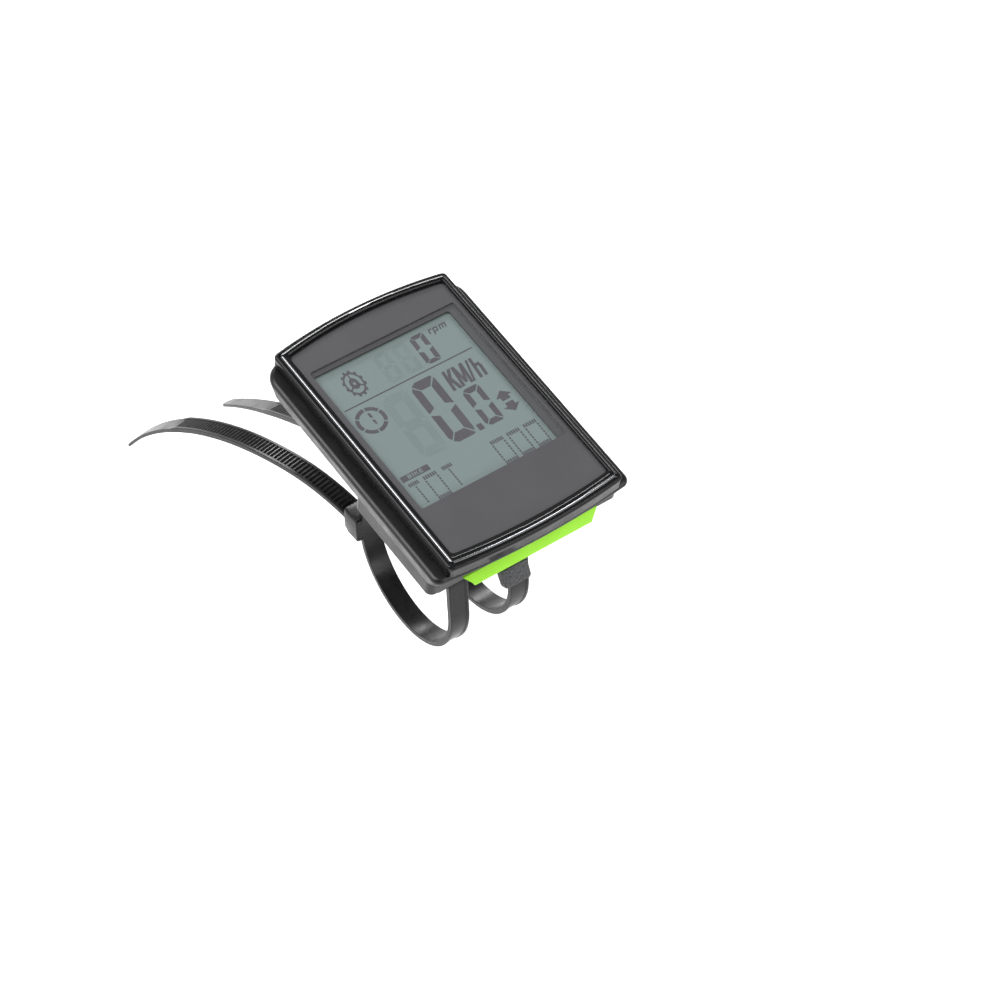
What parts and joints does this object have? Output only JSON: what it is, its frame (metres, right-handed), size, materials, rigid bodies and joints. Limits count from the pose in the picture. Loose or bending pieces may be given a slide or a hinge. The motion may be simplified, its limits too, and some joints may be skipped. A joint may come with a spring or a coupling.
{
  "type": "cycling computer",
  "caption": "Slim rectangular cycling computer with a reflective display and a lime key bar, on a handlebar bracket held by cable ties.",
  "frame": {"origin": "on the handlebar's axis, halfway between the two cable ties", "axes": "+X along the handlebar, +Y forward, away from the rider, +Z out of the display"},
  "size_m": [0.0524, 0.1211, 0.0937],
  "materials": {
    "lens_clear": "polished clear acrylic with a black printed border",
    "mask_grey": "dark grey print behind the lens",
    "case_black": "black ABS, gloss to satin",
    "silicone": "soft silicone rubber",
    "steel": "plated steel",
    "lcd": "reflective liquid crystal glass, grey-green",
    "tray_white": "white moulded tray",
    "board_green": "green solder mask",
    "chip_black": "moulded black epoxy",
    "ceramic": "tan ceramic with tinned ends",
    "spring_brass": "plated spring brass",
    "key_lime": "lime green, satin",
    "door_black": "black satin ABS",
    "bracket_black": "black textured nylon",
    "pad_rubber": "black rubber",
    "nylon_black": "black nylon, semi-gloss",
    "lever_grey": "dark grey nylon with a coarse moulded grain"
  },
  "bodies": {
    "bracket_set": {"bracket": "bracket_black", "rubber_pad": "pad_rubber", "tie_left": "nylon_black", "tie_right": "nylon_black"},
    "lever": {"release_lever": "lever_grey"},
    "head": {"lens": "lens_clear", "display_mask": "mask_grey", "front_case": "case_black", "rear_case": "case_black", "case_gasket": "silicone", "case_screws": "steel", "lcd_glass": "lcd", "lcd_tray": "tray_white", "zebra_strip": "silicone", "circuit_board": "board_green", "controller_chip": "chip_black", "radio_chip": "chip_black", "crystal": "steel", "chip_capacitors": "ceramic", "coin_cell": "steel", "contact_negative": "spring_brass", "contact_positive": "spring_brass", "tact_switches": "steel"},
    "key": {"key_bar": "key_lime", "key_caps": "silicone"},
    "plungers": {"switch_plungers": "chip_black"},
    "door": {"battery_door": "door_black", "door_seal": "silicone"}
  },
  "joints": [
    {"name": "head_slide", "type": "slide", "parent": "bracket_set", "child": "head", "axis": [0, -1, 0], "range_m": [0, 0.022]},
    {"name": "lever_press", "type": "hinge", "parent": "bracket_set", "child": "lever", "pos_m": [0, -0.009, 0.0224], "axis": [1, 0, 0], "range_deg": [0, 6], "stiffness_Nm_per_rad": 0.5},
    {"name": "key_press", "type": "slide", "parent": "head", "child": "key", "axis": [0, 0, 1], "range_m": [0, 0.0003], "stiffness_N_per_m": 3000},
    {"name": "plunger_press", "type": "slide", "parent": "head", "child": "plungers", "axis": [0, 0, 1], "range_m": [0, 0.0003]},
    {"name": "door_turn", "type": "hinge", "parent": "head", "child": "door", "pos_m": [0.0046, 0.0233, 0.0275], "axis": [0, 0, 1], "range_deg": [0, 60]}
  ],
  "couplings": [
    {"joint": "plunger_press", "follows": "key_press", "ratio": 1}
  ]
}
